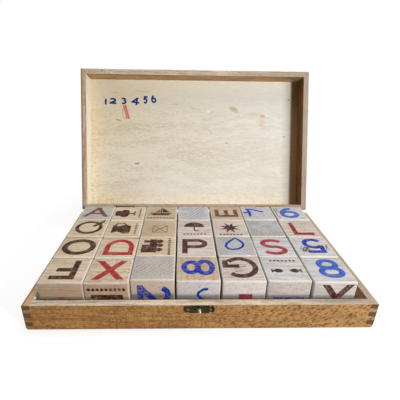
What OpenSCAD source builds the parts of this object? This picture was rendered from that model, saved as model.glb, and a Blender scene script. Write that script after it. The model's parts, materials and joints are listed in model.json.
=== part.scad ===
// Boxed set of wooden alphabet blocks: a hinged, finger-jointed case, open, with its cubes in rows.
// Origin: middle of the tray's underside. +X to the right, +Y to the hinges, +Z up.

/* [Blocks] */
// Edge of one wooden cube
block_edge = 34; // [28:0.5:40]
// Bevel on every edge of a cube
block_bevel = 0.8; // [0.3:0.1:2]
// Mean gap between neighbouring cubes
block_gap = 1; // [0.6:0.1:2]
// Cubes in one row, from left to right
block_cols = 7; // [2:1:7]
// Rows of cubes, from front to back
block_rows = 4; // [2:1:4]

/* [Case] */
// Thickness of the four walls of each half
wall_t = 6; // [5:0.5:8]
// Thickness of the plywood floor and lid panel
panel_t = 4.5; // [3:0.5:6]
// Depth of the rabbet that holds a plywood panel
rabbet = 1.5; // [0.5:0.1:2]
// Radius where the left end meets the floor or the lid's top
left_end_r = 3; // [1:0.1:3.5]
// Radius where the right end meets the floor or the lid's top
right_end_r = 4; // [1:0.1:4]
// Radius on the long outer edges of the floor and the lid's top
long_edge_r = 1.2; // [0.4:0.1:3]
// Small bevel round the two rims
rim_bevel = 0.4; // [0.2:0.1:0.8]
// Finger slots in the height of one half
finger_slots = 6; // [4:2:8]
// Free room left of the cubes
room_left = 4.7; // [0.5:0.1:15]
// Free room right of the cubes
room_right = 9.3; // [0.5:0.1:20]
// Free room in front of the cubes
room_front = 0.5; // [0.3:0.1:10]
// Free room behind the cubes
room_back = 13.5; // [6:0.1:25]
// Free room over the cubes when the lid is shut
head_room = 5; // [2:0.1:12]

/* [Hinges] */
// Angle from shut to fully open
lid_open = 111.4; // [100:0.1:125]
// Width of one hinge
hinge_w = 25; // [18:1:40]
// From the end of the case to the middle of a hinge
hinge_inset = 50; // [30:1:70]
// Thickness of a hinge leaf
leaf_t = 1; // [0.6:0.1:1.4]
// How far a leaf reaches onto its rim
leaf_reach = 4.5; // [3.5:0.1:5]
// Outer radius of the hinge barrel
barrel_r = 1.75; // [1.5:0.05:2.5]
// Radius of the hinge pin
hinge_pin_r = 0.85; // [0.6:0.05:1]
// Length of the lid leaf's knuckle, which also carries the stop
stop_knuckle_len = 9; // [6:0.5:12]
// Space between the two rims when the lid is shut
seam_gap = 0.2; // [0.1:0.05:0.5]
// From the middle of a hinge to each of its screws
hinge_screw_x = 8; // [5:0.5:8.5]
// Length of a hinge screw
hinge_screw_len = 8; // [5:0.5:12]
// Radius of a hinge screw's shank
hinge_screw_r = 0.7; // [0.5:0.05:0.9]

/* [Catch] */
// Width of the plate on the tray, and of its twin on the lid
catch_w = 23.5; // [18:0.5:30]
// Height of these plates
catch_h = 7; // [5:0.5:9]
// Thickness of these plates
catch_t = 0.8; // [0.5:0.1:1]
// Middle of the catch, measured from the middle of the case
catch_off = -2.4; // [-20:0.1:20]
// Radius of the four scalloped notches in a plate
notch_r = 1.25; // [0.8:0.05:1.5]
// From a plate's end to its nail
nail_inset = 3.2; // [2.5:0.1:4.5]
// Radius of a nail's shank
nail_r = 0.5; // [0.3:0.05:0.7]
// Length of a nail's shank
nail_len = 5; // [3:0.5:5.5]
// Radius of the ball on the stud
ball_r = 1.7; // [1.2:0.05:2]
// From the wall to the middle of the ball
ball_out = 3.3; // [3:0.1:4]
// Radius of the neck under the ball
neck_r = 1; // [0.7:0.05:1.2]
// Radius of the stud's riveted shank
rivet_r = 0.8; // [0.5:0.05:1]
// Depth of the riveted shank in the wall
rivet_len = 4; // [2:0.5:5]
// Outer radius of the tongue's barrel
hasp_barrel_r = 1.15; // [1.1:0.05:1.5]
// Radius of the tongue's pin
hasp_pin_r = 0.55; // [0.4:0.05:0.6]
// From the lid's rim up to the tongue's pin, lid shut
hasp_rise = 7; // [1.5:0.1:7.2]
// Width of the tongue at its barrel
tongue_w = 6; // [5:0.1:8]
// Length of each of the plate's two knuckles beside the tongue
hasp_ear_w = 2.2; // [1.5:0.1:3]
// Thickness of the tongue
tongue_t = 0.7; // [0.5:0.05:0.8]
// Brass left round the hole in the tongue
tongue_rim = 1.6; // [1:0.1:2.5]
// Radius of the finger tip at the end of the tongue
tip_r = 1.8; // [1.2:0.1:2.5]

/* [Fits] */
// Radial clearance of a pin in its barrel
pin_fit = 0.05; // [0.02:0.01:0.09]
// Clearance round parts that swing past each other
swing_gap = 0.25; // [0.2:0.05:0.4]

/* [Hidden] */
$fn = 48;
// Names of the cubes by what shows on top, each row from left to right, the front row first
CUBE_NAMES = [
    ["f", "x", "plain_front", "eight_turned", "g", "twin_fish", "eight"],
    ["o", "d", "train", "p", "ink_loop", "s", "five"],
    ["q", "jug", "pane", "umbrella", "star", "plain_back", "l"],
    ["a", "tree", "boat", "sawn", "e", "ink_four", "six"]
];
function cube_node(row, col) = str("block_", CUBE_NAMES[row][col]);
// How the loose cubes lie: each column's push to the back, as a share of an edge, then its shift
// along X and how far its rows have closed up, both as shares of the mean gap, less than zero
// where they lie further apart
PUSH_SHARES = [0.026, 0.018, 0.126, 0.089, 0.085, 0.074, 0.044];
SHIFT_SHARES = [0, -0.6, -1, -0.7, -0.2, -0.3, 0];
CLOSED_UP_SHARES = [-0.8, -0.55, 0.6, 0, -0.05, -0.4, -0.6];
// Height of each cube as a share of an edge, the front row first, as the saw left them
HEIGHT_SHARES = [
    [1, 0.997, 1.01, 1.008, 1, 1.006, 0.995],
    [0.992, 0.988, 1.002, 0.992, 1.01, 0.987, 1],
    [1.005, 1.004, 0.974, 0.993, 0.996, 0.992, 0.988],
    [1, 0.993, 1.002, 1, 0.998, 1.003, 1.006]
];
// Slight turn of every cube: its corner's drift as a share of the mean gap, spread by the angle
turn_share = 0.06;
turn_spread = 137;
CUBE_NODES = [
    for (row = [0:block_rows - 1]) for (col = [0:block_cols - 1]) cube_node(row, col)
];
CASE_NODES = [
    "tray_front", "tray_back", "tray_left", "tray_right", "tray_floor",
    "lid_front", "lid_back", "lid_left", "lid_right", "lid_panel"
];
METAL_NODES = [
    "tray_leaf_left", "tray_leaf_right", "lid_leaf_left", "lid_leaf_right",
    "hinge_pin_left", "hinge_pin_right", "tray_hinge_screws", "lid_hinge_screws",
    "catch_plate", "catch_stud", "catch_nails",
    "hasp_plate", "hasp_nails", "hasp_pin", "hasp_tongue"
];

// Overrun of every cut past the face that it opens
over = 1;

// Inside and outside of the case, worked out from the cubes and the room round them
pitch = block_edge + block_gap;
cubes_w = block_cols * pitch - block_gap;
cubes_d = block_rows * pitch - block_gap;
inner_w = room_left + cubes_w + room_right;
inner_d = room_front + cubes_d + room_back;
case_w = inner_w + 2 * wall_t;
case_d = inner_d + 2 * wall_t;
half_h = panel_t + (block_edge + head_room) / 2;
finger_h = half_h / finger_slots;
front_y = -case_d / 2;
back_y = case_d / 2;

// Hinge axis, behind the back wall and half way up the seam
axis_y = back_y + barrel_r + swing_gap;
axis_z = half_h + seam_gap / 2;
lid_rim_z = half_h + seam_gap;
stop_lean = lid_open - 90;
stop_t = leaf_t;
stop_len = (axis_y - back_y - pin_fit - stop_t / 2 * cos(stop_lean)) / sin(stop_lean);
tray_knuckle_len = (hinge_w - stop_knuckle_len) / 2 - swing_gap;
hinge_mid_x = case_w / 2 - hinge_inset;
leaf_screw_y = back_y - leaf_reach / 2;
screw_head_r = 2 * hinge_screw_r;
screw_head_h = hinge_screw_r;
screw_slot_w = hinge_screw_r / 2;
screw_slot_depth = hinge_screw_r / 2;

// Catch: plate close under the tray's rim, tongue pinned to the lid over it
catch_drop = rim_bevel;
catch_z = half_h - catch_drop - catch_h / 2;
hasp_out = hasp_barrel_r + pin_fit * 4;
hasp_axis_z = lid_rim_z + hasp_rise;
hasp_plate_z = hasp_axis_z + hasp_barrel_r + swing_gap * 1.5 + catch_h / 2;
hole_reach = norm([hasp_axis_z - catch_z, ball_out - hasp_out]);
hole_r = ball_r + swing_gap;
ring_r = hole_r + tongue_rim;
collar_r = neck_r * 1.5;
collar_h = catch_t / 2;
nail_head_r = nail_r * 2;
nail_head_h = nail_r;
nail_x = catch_w / 2 - nail_inset;
pin_len = tongue_w + 2 * hasp_ear_w + 2 * swing_gap;
ear_x = tongue_w / 2 + swing_gap;

// Outline of a half seen from its end or side, rounded below and bevelled at the rim
module half_outline(width, r_low_x, r_high_x) {
    edge = width / 2;
    difference() {
        polygon([
            [-edge, 0], [-edge, half_h - rim_bevel], [rim_bevel - edge, half_h],
            [edge - rim_bevel, half_h], [edge, half_h - rim_bevel], [edge, 0]
        ]);
        translate([-edge, 0]) corner_waste(r_low_x);
        translate([edge, 0]) mirror([1, 0]) corner_waste(r_high_x);
    }
}

// What rounding takes off a lower left corner at zero
module corner_waste(r) {
    difference() {
        translate([-over, -over]) square(r + over);
        translate([r, r]) circle(r);
    }
}

// Keeps a wall inside the rounded outer shape of its half
module sanded() {
    intersection() {
        children();
        rotate([90, 0, 0])
            linear_extrude(case_d + 2 * over, center = true)
                half_outline(case_w, left_end_r, right_end_r);
        rotate([90, 0, 90])
            linear_extrude(case_w + 2 * over, center = true)
                half_outline(case_d, long_edge_r, long_edge_r);
    }
}

// Plywood panel: the floor of the tray, or the top of the lid when turned over
module plywood() {
    panel_w = inner_w + 2 * rabbet;
    panel_d = inner_d + 2 * rabbet;
    translate([-panel_w / 2, -panel_d / 2, 0]) cube([panel_w, panel_d, panel_t]);
}

// Takes every second finger slot out of both ends of a board that lies along X
module finger_cuts(length, first) {
    for (side = [-1, 1]) for (slot = [first:2:finger_slots - 1])
        translate([side * (length + over) / 2 - side * wall_t / 2, 0, (slot + 0.5) * finger_h])
            cube([wall_t + over, wall_t + 2 * over, finger_h], center = true);
}

// Long board; side is -1 for the front and 1 for the back, first is its first open slot
module long_wall(side, first) {
    sanded() difference() {
        translate([0, side * (case_d - wall_t) / 2, 0]) difference() {
            translate([0, 0, half_h / 2]) cube([case_w, wall_t, half_h], center = true);
            finger_cuts(case_w, first);
        }
        plywood_cut();
    }
}

// Short board; side is -1 for the left and 1 for the right
module short_wall(side, first) {
    sanded() difference() {
        translate([side * (case_w - wall_t) / 2, 0, 0]) rotate([0, 0, 90]) difference() {
            translate([0, 0, half_h / 2]) cube([case_d, wall_t, half_h], center = true);
            finger_cuts(case_d, first);
        }
        plywood_cut();
    }
}

// Space of the plywood, run out below so that the rabbet is open
module plywood_cut() {
    plywood();
    translate([0, 0, -over]) plywood();
}

// Puts a half on top of the tray, upside down, with the seam between the rims
module turned_over() {
    translate([0, 0, half_h + lid_rim_z]) mirror([0, 0, 1]) children();
}

// Swings what is on the shut lid round the hinge pins to where the lid stands open
module opened() {
    translate([0, axis_y, axis_z]) rotate([-lid_open, 0, 0])
        translate([0, -axis_y, -axis_z]) children();
}

module at_hinges() {
    for (side = [-1, 1]) translate([side * hinge_mid_x, 0, 0]) children();
}

// Bed of both leaves in the tray's rim, with the pilot holes of the screws
module leaf_beds() {
    at_hinges() {
        translate([-hinge_w / 2, back_y - leaf_reach, half_h - leaf_t])
            cube([hinge_w, leaf_reach + over, leaf_t + over]);
        leaf_screw_places(half_h) pilot_hole(hinge_screw_r, hinge_screw_len);
    }
}

module leaf_screw_places(top_z) {
    for (x = [-hinge_screw_x, hinge_screw_x]) translate([x, leaf_screw_y, top_z]) children();
}

module pilot_hole(r, length) {
    translate([0, 0, -length]) cylinder(r = r + pin_fit, h = length + over);
}

module catch_holes(with_stud, mid_z) {
    on_front(mid_z) {
        nail_places() pilot_hole(nail_r, nail_len);
        if (with_stud) pilot_hole(rivet_r, rivet_len);
    }
}

// Frame of the catch: X along the wall, Y up, Z out of the front wall
module on_front(mid_z) {
    translate([catch_off, front_y, mid_z]) rotate([90, 0, 0]) children();
}

module nail_places() {
    for (x = [-nail_x, nail_x]) translate([x, 0, 0]) children();
}

module tray_front() {
    color("peru") difference() {
        long_wall(-1, 1);
        catch_holes(true, catch_z);
    }
}

module tray_back() {
    color("peru") difference() {
        long_wall(1, 1);
        leaf_beds();
    }
}

module tray_left() {
    color("peru") short_wall(-1, 0);
}

module tray_right() {
    color("peru") short_wall(1, 0);
}

module tray_floor() {
    color("blanchedalmond") plywood();
}

module lid_front() {
    color("peru") opened() difference() {
        turned_over() long_wall(-1, 0);
        catch_holes(false, hasp_plate_z);
    }
}

module lid_back() {
    color("peru") opened() turned_over() difference() {
        long_wall(1, 0);
        leaf_beds();
    }
}

module lid_left() {
    color("peru") opened() turned_over() short_wall(-1, 1);
}

module lid_right() {
    color("peru") opened() turned_over() short_wall(1, 1);
}

module lid_panel() {
    color("blanchedalmond") opened() turned_over() plywood();
}

// Flat part of a leaf let into the rim, with its outer face at top_z
module leaf_plate(top_z) {
    translate([-hinge_w / 2, back_y - leaf_reach, top_z - leaf_t])
        cube([hinge_w, leaf_reach, leaf_t]);
}

module leaf_screw_holes() {
    leaf_screw_places(half_h) screw_shape(pin_fit);
}

// Screw or the hole for it, with its head flush at z = 0
module screw_shape(clearance) {
    translate([0, 0, -screw_head_h])
        cylinder(r1 = hinge_screw_r + clearance, r2 = screw_head_r + clearance, h = screw_head_h);
    translate([0, 0, -hinge_screw_len])
        cylinder(r = hinge_screw_r + clearance, h = hinge_screw_len);
}

module hinge_screw() {
    difference() {
        screw_shape(0);
        cube([3 * screw_head_r, screw_slot_w, 2 * screw_slot_depth], center = true);
    }
}

// Knuckle of a given length, centred at x, joined to its leaf by a strip from the rim
module knuckle(x, length, strip_z) {
    translate([x - length / 2, axis_y, axis_z]) rotate([0, 90, 0])
        cylinder(r = barrel_r, h = length);
    translate([x - length / 2, back_y - leaf_reach / 2, strip_z])
        cube([length, axis_y - back_y + leaf_reach / 2, leaf_t]);
}

module barrel_bore() {
    translate([-hinge_w / 2 - over, axis_y, axis_z]) rotate([0, 90, 0])
        cylinder(r = hinge_pin_r + pin_fit, h = hinge_w + 2 * over);
}

module tray_leaf() {
    color("goldenrod") difference() {
        union() {
            leaf_plate(half_h);
            for (side = [-1, 1])
                knuckle(side * (hinge_w - tray_knuckle_len) / 2, tray_knuckle_len, half_h - leaf_t);
        }
        barrel_bore();
        leaf_screw_holes();
    }
}

// The lid's leaf has one knuckle, and a stop on it that meets the tray's back when fully open
module lid_leaf() {
    color("goldenrod") opened() difference() {
        union() {
            turned_over() leaf_plate(half_h);
            knuckle(0, stop_knuckle_len, lid_rim_z);
            translate([-stop_knuckle_len / 2, axis_y, axis_z - stop_t / 2])
                cube([stop_knuckle_len, stop_len, stop_t]);
        }
        barrel_bore();
        turned_over() leaf_screw_holes();
    }
}

module hinge_pin() {
    color("darkgoldenrod") translate([-hinge_w / 2, axis_y, axis_z]) rotate([0, 90, 0])
        cylinder(r = hinge_pin_r, h = hinge_w);
}

module tray_leaf_left() {
    translate([-hinge_mid_x, 0, 0]) tray_leaf();
}

module tray_leaf_right() {
    translate([hinge_mid_x, 0, 0]) tray_leaf();
}

module lid_leaf_left() {
    translate([-hinge_mid_x, 0, 0]) lid_leaf();
}

module lid_leaf_right() {
    translate([hinge_mid_x, 0, 0]) lid_leaf();
}

module hinge_pin_left() {
    translate([-hinge_mid_x, 0, 0]) hinge_pin();
}

module hinge_pin_right() {
    translate([hinge_mid_x, 0, 0]) hinge_pin();
}

module tray_hinge_screws() {
    color("gold") at_hinges() leaf_screw_places(half_h) hinge_screw();
}

module lid_hinge_screws() {
    color("gold") opened() turned_over() at_hinges() leaf_screw_places(half_h) hinge_screw();
}

// Hole through one of the catch's plates
module through_hole(r) {
    translate([0, 0, -over]) cylinder(r = r + pin_fit, h = catch_t + 2 * over);
}

// Plate with round ends and four scalloped notches, for the tray and the lid alike
module scalloped_plate() {
    difference() {
        linear_extrude(catch_t) difference() {
            union() {
                square([catch_w - catch_h, catch_h], center = true);
                for (x = [-1, 1]) translate([x * (catch_w - catch_h) / 2, 0]) circle(catch_h / 2);
            }
            for (x = [-nail_x, nail_x]) for (y = [-catch_h / 2, catch_h / 2])
                translate([x, y]) circle(notch_r);
        }
        nail_places() through_hole(nail_r);
    }
}

module nail() {
    translate([0, 0, -nail_len]) cylinder(r = nail_r, h = nail_len + catch_t);
    translate([0, 0, catch_t]) rotate_extrude() intersection() {
        scale([nail_head_r / nail_head_h, 1]) circle(nail_head_h);
        square([nail_head_r, nail_head_h]);
    }
}

module catch_plate() {
    color("darkolivegreen") on_front(catch_z) difference() {
        scalloped_plate();
        through_hole(rivet_r);
    }
}

module catch_stud() {
    color("khaki") on_front(catch_z) {
        translate([0, 0, -rivet_len]) cylinder(r = rivet_r, h = rivet_len + ball_out);
        translate([0, 0, catch_t]) cylinder(r = collar_r, h = collar_h);
        translate([0, 0, catch_t]) cylinder(r = neck_r, h = ball_out - catch_t);
        translate([0, 0, ball_out]) sphere(ball_r);
    }
}

module catch_nails() {
    color("khaki") on_front(catch_z) nail_places() nail();
}

// Cylinder along X on the tongue's axis, from x to x + length
module hasp_rod(x, length, r) {
    translate([x, 0, 0]) rotate([0, 90, 0]) cylinder(r = r, h = length);
}

// Frame of the tongue: its pin along X, the flipped-back tongue along +Y, Z out of the wall
module on_hasp_axis() {
    opened() on_front(hasp_axis_z) translate([0, 0, hasp_out]) children();
}

// Plate on the lid: the same outline, with two ears that reach down to the tongue's pin
module hasp_plate() {
    ear_reach = hasp_plate_z - hasp_axis_z;
    color("darkolivegreen") {
        on_hasp_axis() difference() {
            union() {
                translate([0, ear_reach, -hasp_out]) scalloped_plate();
                for (x = [-ear_x - hasp_ear_w, ear_x]) {
                    hasp_rod(x, hasp_ear_w, hasp_barrel_r);
                    translate([x, 0, -hasp_out]) cube([hasp_ear_w, ear_reach, catch_t]);
                }
            }
            hasp_rod(-pin_len, 2 * pin_len, hasp_pin_r + pin_fit);
        }
    }
}

module hasp_nails() {
    color("khaki") opened() on_front(hasp_plate_z) nail_places() nail();
}

module hasp_pin() {
    color("darkgoldenrod") on_hasp_axis() hasp_rod(-pin_len / 2, pin_len, hasp_pin_r);
}

// Tongue: a barrel, an arm, a ring that snaps over the ball, and a finger tip
module hasp_tongue() {
    color("darkkhaki") on_hasp_axis() difference() {
        union() {
            hasp_rod(-tongue_w / 2, tongue_w, hasp_barrel_r);
            translate([0, 0, -tongue_t / 2]) linear_extrude(tongue_t) {
                translate([-tongue_w / 2, 0]) square([tongue_w, hole_reach]);
                translate([0, hole_reach]) circle(ring_r);
                translate([0, hole_reach + ring_r]) circle(tip_r);
            }
        }
        hasp_rod(-tongue_w, 2 * tongue_w, hasp_pin_r + pin_fit);
        translate([0, hole_reach, -tongue_t]) cylinder(r = hole_r, h = 2 * tongue_t);
    }
}

// Prism along Z on a rectangle, centred, with its four long edges bevelled
module bevelled_prism(x_size, y_size, length) {
    x = x_size / 2;
    y = y_size / 2;
    linear_extrude(length, center = true)
        polygon([
            [-x, block_bevel - y], [block_bevel - x, -y], [x - block_bevel, -y], [x, block_bevel - y],
            [x, y - block_bevel], [x - block_bevel, y], [block_bevel - x, y], [-x, y - block_bevel]
        ]);
}

// Cube of the set with all its edges bevelled, standing on z = 0
module bevelled_cube(height) {
    translate([0, 0, height / 2]) intersection() {
        bevelled_prism(block_edge, block_edge, height);
        rotate([90, 0, 0]) bevelled_prism(block_edge, height, block_edge);
        rotate([0, 90, 0]) bevelled_prism(height, block_edge, block_edge);
    }
}

// One cube on the floor of the tray, at its place in the rows
module block(row, col) {
    push = PUSH_SHARES[col] * block_edge - row * CLOSED_UP_SHARES[col] * block_gap;
    turn = atan(turn_share * block_gap / (block_edge / 2)) * sin(turn_spread * (row * block_cols + col));
    color("wheat")
        translate([
            room_left - inner_w / 2 + col * pitch + SHIFT_SHARES[col] * block_gap + block_edge / 2,
            room_front - inner_d / 2 + row * pitch + push + block_edge / 2,
            panel_t
        ])
            rotate([0, 0, turn]) bevelled_cube(block_edge * HEIGHT_SHARES[row][col]);
}

tray_front();
tray_back();
tray_left();
tray_right();
tray_floor();
lid_front();
lid_back();
lid_left();
lid_right();
lid_panel();
tray_leaf_left();
tray_leaf_right();
lid_leaf_left();
lid_leaf_right();
hinge_pin_left();
hinge_pin_right();
tray_hinge_screws();
lid_hinge_screws();
catch_plate();
catch_stud();
catch_nails();
hasp_plate();
hasp_nails();
hasp_pin();
hasp_tongue();
for (row = [0:block_rows - 1]) for (col = [0:block_cols - 1])
    block(row, col);
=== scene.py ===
import json
import math
import random

import bmesh
import bpy
from mathutils import Matrix, Vector


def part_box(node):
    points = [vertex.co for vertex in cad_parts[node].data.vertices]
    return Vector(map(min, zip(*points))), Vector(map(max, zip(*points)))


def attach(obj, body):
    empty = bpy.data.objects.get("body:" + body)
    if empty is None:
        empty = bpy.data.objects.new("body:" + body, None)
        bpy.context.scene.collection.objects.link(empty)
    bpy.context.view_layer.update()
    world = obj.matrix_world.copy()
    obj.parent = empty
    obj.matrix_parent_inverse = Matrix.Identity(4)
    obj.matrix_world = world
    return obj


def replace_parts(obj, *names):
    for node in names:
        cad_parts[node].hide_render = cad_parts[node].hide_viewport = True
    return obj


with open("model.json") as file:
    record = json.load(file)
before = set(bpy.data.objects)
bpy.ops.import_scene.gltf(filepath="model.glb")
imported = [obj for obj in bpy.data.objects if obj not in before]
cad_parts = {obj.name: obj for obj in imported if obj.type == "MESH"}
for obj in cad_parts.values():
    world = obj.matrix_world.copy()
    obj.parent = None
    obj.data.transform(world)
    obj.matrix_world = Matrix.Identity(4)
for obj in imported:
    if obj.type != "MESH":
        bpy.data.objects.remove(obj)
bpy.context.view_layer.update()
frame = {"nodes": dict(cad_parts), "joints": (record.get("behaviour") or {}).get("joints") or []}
MM = 0.001

# The viewpoint: a camera held in front of the open case, a little left of its middle, looking down
# into it. The lens and its optical centre are in pixels of a picture 400 pixels wide and high.
PICTURE_PX = 400
FOCAL_PX = 334.0
CENTRE_X_PX = 191.6
CENTRE_Y_PX = 208.9
SENSOR_MM = 36
CAMERA_MM = Vector((-15.8, -280.95, 193.2))
PITCH, YAW, ROLL = math.radians(24.41), math.radians(1.80), math.radians(-0.94)
forward = Vector((math.sin(YAW) * math.cos(PITCH), math.cos(YAW) * math.cos(PITCH), -math.sin(PITCH)))
level = Vector((math.cos(YAW), -math.sin(YAW), 0))
down = forward.cross(level)
right = level * math.cos(ROLL) + down * math.sin(ROLL)
up = level * math.sin(ROLL) - down * math.cos(ROLL)
camera = bpy.data.objects.new("camera", bpy.data.cameras.new("camera"))
camera.data.sensor_width = SENSOR_MM
camera.data.lens = SENSOR_MM * FOCAL_PX / PICTURE_PX
camera.data.shift_x = 0.5 - CENTRE_X_PX / PICTURE_PX
camera.data.shift_y = CENTRE_Y_PX / PICTURE_PX - 0.5
camera.data.clip_start = 0.01
camera.matrix_world = Matrix.Translation(CAMERA_MM * MM) @ Matrix((right, up, -forward)).transposed().to_4x4()
bpy.context.scene.collection.objects.link(camera)
bpy.context.scene.camera = camera


# The studio: a low key lamp in front to the right, a broad one overhead, weak ones for the back and
# the left side, and a dim surround. The eye sees the surround and the paper floor as white, and the
# paper near the case still holds a soft shadow.
class Wire:
    """An output of a shader node. A sum such as 1 - wire * 2 adds the nodes that work it out."""

    def __init__(self, socket):
        self.socket = socket
        self.tree = socket.id_data

    def __add__(self, other):
        return worked("ADD", self, other)

    def __sub__(self, other):
        return worked("SUBTRACT", self, other)

    def __rsub__(self, other):
        return worked("SUBTRACT", other, self)

    def __mul__(self, other):
        return worked("MULTIPLY", self, other)

    def __abs__(self):
        return worked("ABSOLUTE", self)


class Outputs:
    """The outputs of a shader node as wires, by number or by name."""

    def __init__(self, sockets):
        self.sockets = sockets

    def __getitem__(self, which):
        return Wire(self.sockets[which])


def paint(red, green, blue):
    """A colour as a painter reads it off, 0 to 255 on the screen, as the shader's own numbers."""
    shades = (value / 255 for value in (red, green, blue))
    return *((s / 12.92 if s <= 0.04045 else ((s + 0.055) / 1.055) ** 2.4) for s in shades), 1


def add(kind, inputs=(), tree=None, **settings):
    """Puts a shader node in the given tree or that of its first wire, sets it up and feeds it. A
    colour of three numbers is one from the screen, and one of four is the shader's own."""
    inputs = dict(inputs)
    tree = tree or next(value.tree for value in inputs.values() if isinstance(value, Wire))
    made = tree.nodes.new("ShaderNode" + kind)
    for name, value in settings.items():
        setattr(made, name, value)
    for name, value in inputs.items():
        socket = made.inputs[name]
        if isinstance(value, Wire):
            tree.links.new(value.socket, socket)
        else:
            socket.default_value = paint(*value) if socket.type == "RGBA" and len(value) == 3 else value
    return Outputs(made.outputs)


def is_vector(value):
    """Whether a value in a sum is a vector or a colour and not a number."""
    return value.socket.type != "VALUE" if isinstance(value, Wire) else isinstance(value, tuple)


def worked(operation, *values):
    """One sum, by its name in the Math node, or in the Vector Math node if a vector takes part."""
    if not any(is_vector(value) for value in values):
        return add("Math", enumerate(values), operation=operation)[0]
    values = [(value,) * 3 if isinstance(value, (int, float)) else value for value in values]
    return add("VectorMath", enumerate(values), operation=operation)[0]


def length(vector):
    """How long a vector is."""
    return add("VectorMath", {0: vector}, operation="LENGTH")["Value"]


def step(value, low, high):
    """0 below one value, 1 above another, and smooth in between. The first may be the larger."""
    ends = {"Value": value, "From Min": low, "From Max": high}
    return add("MapRange", ends, interpolation_type="SMOOTHSTEP")[0]


def seen_directly(tree):
    """1 for what the eye, a reflection or clear glass shows, and 0 for light on a surface."""
    path = add("LightPath", tree=tree)
    mirrored = worked("MAXIMUM", path["Is Glossy Ray"], path["Is Transmission Ray"])
    return worked("MAXIMUM", path["Is Camera Ray"], mirrored)


def lamp(name, place, aim, size, watts, colour):
    """A square area lamp at one place, aimed at another, in metres."""
    light = bpy.data.lights.new(name, "AREA")
    light.size, light.energy, light.color = size, watts, colour
    made = bpy.data.objects.new(name, light)
    toward = Vector(aim) - Vector(place)
    made.matrix_world = Matrix.Translation(place) @ toward.to_track_quat("-Z", "Y").to_matrix().to_4x4()
    bpy.context.scene.collection.objects.link(made)


WHITE = (1, 1, 1, 1)
SURROUND_TINT = (0.93, 0.97, 1, 1)
SURROUND_LIGHT = 0.1
world = bpy.data.worlds.new("surround")
world.use_nodes = True
tree = world.node_tree
tree.nodes.clear()
surround = add("Background", {"Color": SURROUND_TINT, "Strength": SURROUND_LIGHT}, tree)[0]
white = add("Background", {"Color": WHITE, "Strength": 1}, tree)[0]
shown = add("MixShader", {0: seen_directly(tree), 1: surround, 2: white})[0]
add("OutputWorld", {"Surface": shown})
bpy.context.scene.world = world
bpy.context.scene.view_settings.view_transform = "Standard"
lamp("key", (0.46, -0.57, 0.32), (0, 0.03, 0.06), 0.07, 5.0, (1, 0.985, 0.96))
lamp("overhead", (0.05, 0.14, 1.0), (0, 0, 0.04), 0.6, 6.2, (0.97, 0.985, 1))
lamp("behind", (0, 0.9, 0.22), (0, 0.1, 0.08), 0.25, 3.0, (1, 0.985, 0.96))
lamp("left", (-0.85, 0.30, 0.22), (-0.1, 0.05, 0.05), 0.25, 1.6, (0.97, 0.985, 1))

FLOOR_SIZE = 6
floor_bm = bmesh.new()
bmesh.ops.create_grid(floor_bm, x_segments=1, y_segments=1, size=FLOOR_SIZE / 2)
floor = bpy.data.objects.new("floor", bpy.data.meshes.new("floor"))
floor_bm.to_mesh(floor.data)
floor_bm.free()
bpy.context.scene.collection.objects.link(floor)
PAPER_GREY = (0.5, 0.5, 0.5, 1)
SHADOW_GREY = (0.28, 0.28, 0.28, 1)
NEAR_GLOW = 0.77
NEAR, FAR = 0.22, 0.42
paper = bpy.data.materials.new("white paper")
paper.use_nodes = True
tree = paper.node_tree
tree.nodes.clear()
lit_paper = add("BsdfDiffuse", {"Color": PAPER_GREY}, tree)[0]
shaded_paper = add("BsdfDiffuse", {"Color": SHADOW_GREY}, tree)[0]
glow = add("Emission", {"Color": WHITE, "Strength": NEAR_GLOW}, tree)[0]
near_paper = add("AddShader", {0: shaded_paper, 1: glow})[0]
far_paper = add("Emission", {"Color": WHITE, "Strength": 1}, tree)[0]
away = length(add("TexCoord", tree=tree)["Object"])
seen_paper = add("MixShader", {0: step(away, NEAR, FAR), 1: near_paper, 2: far_paper})[0]
all_paper = add("MixShader", {0: seen_directly(tree), 1: lit_paper, 2: seen_paper})[0]
add("OutputMaterial", {"Surface": all_paper})
floor.data.materials.append(paper)


# The beech walls of tray and lid: planed boards, finger-jointed and glued, varnished golden brown
# from outside while the case was one closed box, then sawn apart, so rims and insides stay bare.
def mixed(share, low, high):
    """A colour between two others."""
    return add("Mix", {0: share, 6: low, 7: high}, data_type="RGBA")[2]


def layered(colour, *layers):
    """A colour with others laid over it in turn, each by its share."""
    for share, tint in layers:
        colour = mixed(share, colour, tint)
    return colour


def cloud(vector, scale=1, detail=2, roughness=0.5):
    """Soft noise from 0 to 1."""
    return add("TexNoise", {"Vector": vector, "Scale": scale, "Detail": detail, "Roughness": roughness})[0]


def spotted(vector, outer, inner, none, full):
    """Spots in cells about one unit across, fading out from an inner to an outer radius. By its own
    draw from 0 to 1, a cell has none below one value and a full one above another."""
    made = add("TexVoronoi", {"Vector": vector, "Scale": 1})
    draw = add("SeparateColor", {0: made["Color"]})[0]
    return step(made["Distance"], outer, inner) * step(draw, none, full)


def parts(vector):
    """The three numbers in a vector."""
    return add("SeparateXYZ", {0: vector})


def turned(vector, axis, angle):
    """A vector turned about an axis."""
    return add("VectorRotate", {"Vector": vector, "Axis": axis, "Angle": angle})[0]


def effect(name, build, **kinds):
    """A shader group: a function from its inputs to its outputs by name, and the inputs' kinds."""
    tree = bpy.data.node_groups.new(name, "ShaderNodeTree")
    for label, kind in kinds.items():
        tree.interface.new_socket(label, in_out="INPUT", socket_type="NodeSocket" + kind)
    given = Outputs(tree.nodes.new("NodeGroupInput").outputs)
    results = build(**{label.lower(): given[label] for label in kinds})
    for label, wire in results.items():
        kind = "Float" if wire.socket.type == "VALUE" else "Color"
        tree.interface.new_socket(label, in_out="OUTPUT", socket_type="NodeSocket" + kind)
    end = tree.nodes.new("NodeGroupOutput").inputs
    for label, wire in results.items():
        tree.links.new(wire.socket, end[label])
    return tree


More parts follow.
